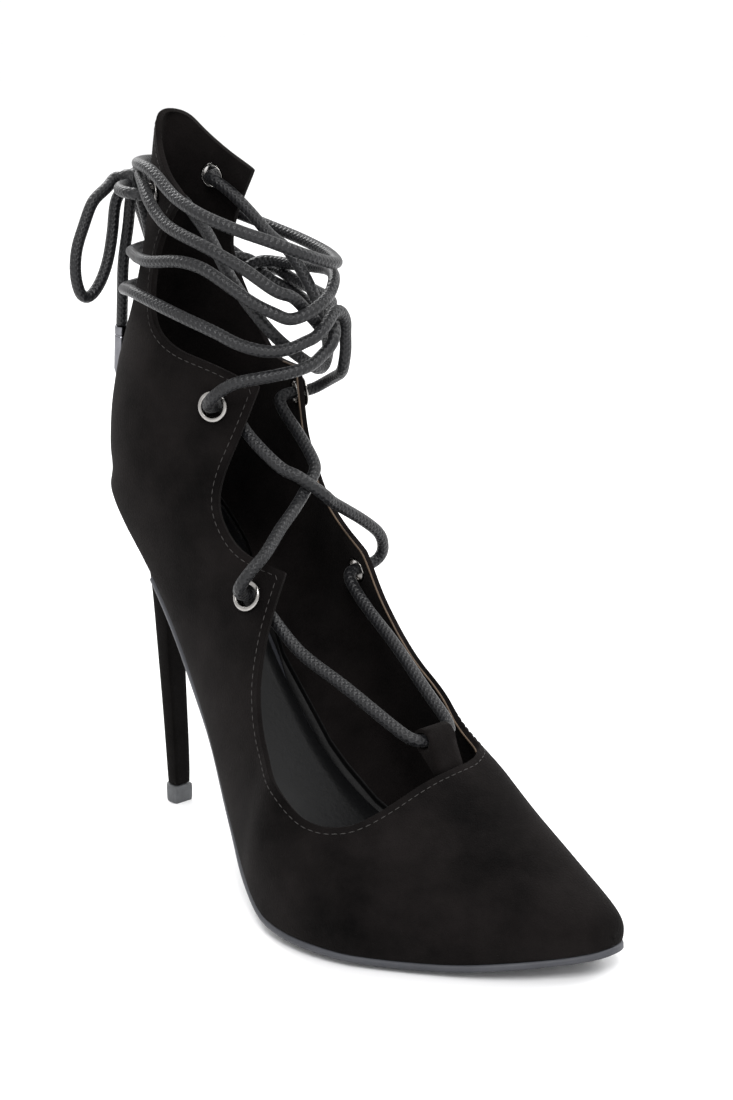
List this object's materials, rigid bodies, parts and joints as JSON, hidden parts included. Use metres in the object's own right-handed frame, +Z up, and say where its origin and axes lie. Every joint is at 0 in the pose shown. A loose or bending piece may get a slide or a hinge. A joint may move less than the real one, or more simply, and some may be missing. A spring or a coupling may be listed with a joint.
{
  "type": "lace up heel",
  "caption": "Black suede lace up stiletto, right shoe, with scalloped sides, eyelets and a round lace wound round the ankle and tied behind it",
  "frame": {"origin": "centre of the heel tip's ground face, on the floor", "axes": "+X toward the wearer's left (the inner side), -Y toward the toe, +Z up"},
  "size_m": [0.0823, 0.2161, 0.2286],
  "materials": {
    "suede": "matte black suede with a fine nap",
    "sole_rubber": "thin grey sole, matte",
    "lining": "smooth black lining leather",
    "tip_rubber": "dark grey hard rubber",
    "nickel": "polished nickel",
    "cord": "round braided waxed cord, slight sheen",
    "gunmetal": "polished gunmetal"
  },
  "bodies": {
    "root": {"upper": "suede", "insole": "lining", "outsole": "sole_rubber", "heel": "suede", "heel_tip": "tip_rubber", "throat_tab": "suede", "eyelet_low_inner": "nickel", "eyelet_low_outer": "nickel", "eyelet_mid_inner": "nickel", "eyelet_mid_outer": "nickel", "eyelet_top_inner": "nickel", "eyelet_top_outer": "nickel", "lace_crossings": "cord", "lace_end_inner": "cord", "lace_end_outer": "cord", "lace_knot": "cord", "lace_loop_inner": "cord", "lace_loop_outer": "cord", "aglet_inner": "gunmetal", "aglet_outer": "gunmetal"}
  },
  "joints": []
}
